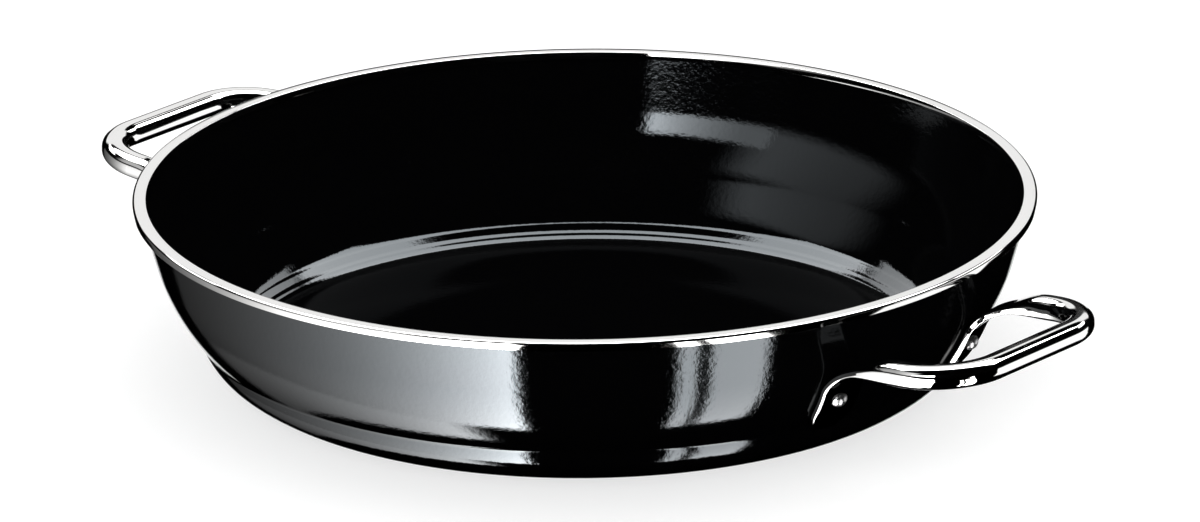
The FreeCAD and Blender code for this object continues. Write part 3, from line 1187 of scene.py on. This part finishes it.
@dataclass
class Studio:
    """Pale floor, soft light and the light panels that only the gloss mirrors.

    A ray mirrored more often than deep_from loses the share deep_loss of the panels' light.
    """

    turn: float
    panels: tuple[Card, ...]
    soft_level: float = 0.9
    deep_from: float = 1.5
    deep_loss: float = 0.96
    floor_half_size: float = 6.0
    floor_colour: Colour = (0.4, 0.4, 0.4)
    floor_roughness: float = 0.9
    floor_glow: float = 0.7
    lamp_size: tuple[float, float] = (1.6, 1.2)
    lamp_height: float = 1.6
    lamp_energy: float = 6.0

    def build(self) -> None:
        """Make the world, the floor, the lamp and the view settings."""
        self.build_world()
        self.build_floor()
        self.build_lamp()
        bpy.context.scene.view_settings.view_transform = "Standard"

    def panel_group(self) -> Tree:
        """Group that gives the light of one rectangle, for a place in its own two axes.

        Returns:
            The group.
        """
        tree, nodes = new_group(
            "light_panel",
            {"Across": 0.0, "Upright": 0.0, "Left": -1.0, "Right": 1.0, "Low": -1.0, "High": 1.0,
             "Side Feather": 0.1, "Height Feather": 0.1, "Fall": Card.fall, "Brightness": 1.0},
            "Light")
        source = nodes.add("NodeGroupInput").outputs
        result = nodes.add("NodeGroupOutput")
        light = source["Brightness"]
        for place, low, high, feather in (("Across", "Left", "Right", "Side Feather"),
                                          ("Upright", "Low", "High", "Height Feather")):
            for edge, sign in ((low, 1.0), (high, -1.0)):
                inside = nodes.math("SUBTRACT", source[place], source[edge])
                inside = nodes.math("MULTIPLY", inside, sign)
                outer = nodes.math("MULTIPLY", source[feather], -1.0)
                light = nodes.math("MULTIPLY", light,
                                   nodes.ramp(inside, outer, source[feather]))
        faded = nodes.math("SUBTRACT", source["Across"], source["Right"])
        faded = nodes.math("DIVIDE", faded, source["Fall"])
        faded = nodes.math("MINIMUM", faded, 0.0)
        nodes.feed(result.inputs["Light"],
                   nodes.math("MULTIPLY", light, nodes.math("EXPONENT", faded)))
        return tree

    def panel_light(self, nodes: Nodes, group: Tree, direction: Socket, panel: Card) -> Socket:
        """Light of one panel in a direction.

        Args:
            nodes: Builder of the world's nodes.
            group: The panel group.
            direction: Direction seen from the pan, with Y away from the camera.
            panel: The panel.

        Returns:
            The light.
        """
        across, upright = panel.place(nodes, direction)
        light = nodes.group(
            group, Across=across, Upright=upright, Left=panel.left, Right=panel.right,
            Low=panel.low, High=panel.high, Side_Feather=panel.side_feather,
            Height_Feather=panel.height_feather, Fall=panel.fall,
            Brightness=panel.brightness).outputs["Light"]
        if panel.skyline >= Card.skyline:
            return light
        top = math.sin(math.radians(panel.skyline))
        low = math.sin(math.radians(panel.skyline - panel.height_feather))
        below = nodes.ramp(nodes.split(direction)["Z"], low, top, 1.0, 0.0)
        return nodes.math("MULTIPLY", light, below)

    def build_world(self) -> None:
        """A white background for the camera, and the light panels for the gloss."""
        world = bpy.data.worlds.new("studio")
        bpy.context.scene.world = world
        world.use_nodes = True
        nodes = Nodes(world.node_tree)
        background = world.node_tree.nodes["Background"]
        ray = nodes.add("ShaderNodeTexCoord").outputs["Generated"]
        direction = nodes.turn(ray, "Z_AXIS", -self.turn)
        group = self.panel_group()
        total: object = 0.0
        for panel in self.panels:
            total = nodes.math("ADD", self.panel_light(nodes, group, direction, panel), total)
        path = nodes.add("ShaderNodeLightPath")
        glossy = path.outputs["Is Glossy Ray"]
        camera = path.outputs["Is Camera Ray"]
        plain = nodes.math("SUBTRACT", 1.0, nodes.math("MAXIMUM", glossy, camera))
        mirrored = nodes.math("MULTIPLY", total, glossy)
        deeper = nodes.math("GREATER_THAN", path.outputs["Glossy Depth"], self.deep_from)
        kept = nodes.math("SUBTRACT", 1.0, nodes.math("MULTIPLY", deeper, self.deep_loss))
        mirrored = nodes.math("MULTIPLY", mirrored, kept)
        level = nodes.math("ADD", mirrored, camera)
        level = nodes.math("ADD", level, nodes.math("MULTIPLY", plain, self.soft_level))
        nodes.feed(background.inputs["Strength"], level)
        background.inputs["Color"].default_value = (1, 1, 1, 1)
        log.info("studio: %d light panels", len(self.panels))

    def build_floor(self) -> None:
        """A plain pale floor that keeps the pan's soft shadow."""
        mesh = bmesh.new()
        bmesh.ops.create_grid(mesh, x_segments=1, y_segments=1, size=self.floor_half_size)
        floor = mesh_object("floor", mesh, TURNED_SHARP)
        floor.visible_glossy = False
        made = bpy.data.materials.new("pale_floor")
        made.use_nodes = True
        nodes = Nodes(made.node_tree)
        shader = made.node_tree.nodes["Principled BSDF"]
        shader.inputs["Base Color"].default_value = (*self.floor_colour, 1)
        shader.inputs["Roughness"].default_value = self.floor_roughness
        path = nodes.add("ShaderNodeLightPath")
        shader.inputs["Emission Color"].default_value = (1, 1, 1, 1)
        glow = nodes.math("MULTIPLY", path.outputs["Is Camera Ray"], self.floor_glow)
        nodes.feed(shader.inputs["Emission Strength"], glow)
        floor.data.materials.append(made)

    def build_lamp(self) -> None:
        """One wide overhead lamp for a soft shadow."""
        data = bpy.data.lights.new("overhead", "AREA")
        data.shape = "RECTANGLE"
        data.size, data.size_y = self.lamp_size
        data.energy = self.lamp_energy
        lamp = bpy.data.objects.new("overhead", data)
        bpy.context.scene.collection.objects.link(lamp)
        lamp.location = (0, 0, self.lamp_height)
        lamp.visible_glossy = False


def window_cards() -> tuple[Card, ...]:
    """The upright light panels, in the places that the photograph's reflections give."""
    window = Card(-136.0, -16.0, -54.0, 14.0, 20.0, tilt=26.6, fall=21.0, side_feather=1.2,
                  skyline=3.0)
    window_foot = Card(-136.0, -33.0, -66.0, -54.0, 9.0, tilt=26.6, fall=24.0,
                       side_feather=6.0, skyline=3.0)
    narrow_strip = Card(21.0, 25.0, -54.0, 8.0, 7.5, tilt=26.6, side_feather=0.5)
    wide_strip = Card(28.5, 42.0, -54.0, 8.0, 7.0, tilt=26.6, side_feather=0.5)
    upper_window = Card(-54.0, -18.0, 13.6, 26.0, 12.0, fall=14.0, height_feather=0.9)
    upper_haze = Card(-97.0, -50.0, 14.0, 43.0, 1.1, fall=40.0, side_feather=9.0,
                      height_feather=4.0)
    side_wall = Card(82.0, 125.0, -32.0, -2.0, 1.2, height_feather=2.0)
    back_wall = Card(-30.0, 30.0, 15.5, 31.0, 0.97, behind=True, side_feather=4.0)
    back_table = Card(-12.0, 12.0, -32.0, 2.0, 1.0, behind=True)
    return (window, window_foot, narrow_strip, wide_strip, upper_window, upper_haze, side_wall,
            back_wall, back_table)


def overhead_panels() -> tuple[Card, ...]:
    """The flat light panels overhead, which light the rings round the pan's floor."""
    main_panel = Ceiling(-0.97, 1.15, -0.75, -0.05, 6.5)
    back_middle = Ceiling(-0.6, 0.33, -1.2, -0.78, 4.0)
    back_left = Ceiling(-1.9, -0.75, -1.6, -0.78, 3.0)
    back_right = Ceiling(1.0, 1.9, -1.6, -0.78, 3.0)
    return main_panel, back_middle, back_left, back_right


def main() -> None:
    """Build the pan and the studio, piece by piece."""
    logging.basicConfig(level=logging.INFO, format="%(name)s %(message)s")
    wall = Wall()
    view = PhotoView()
    view.build(wall)
    effects = Effects()
    enamel = Enamel().material(effects)
    steel = PolishedSteel().material(effects)
    rivet_steel = PolishedSteel(name="blasted_steel", colour=(0.5, 0.5, 0.5),
                                mottle_colour=(0.485, 0.485, 0.485), clean=0.28,
                                marked=0.36).material(effects)
    PanBody(wall).build(enamel)
    RimBand(wall).build(steel)
    handle = Handle(wall)
    for side in Side:
        handle.build(side, steel)
    Rivets(handle).build(rivet_steel)
    Studio(view.turn, window_cards() + overhead_panels()).build()


if __name__ == "__main__":
    main()
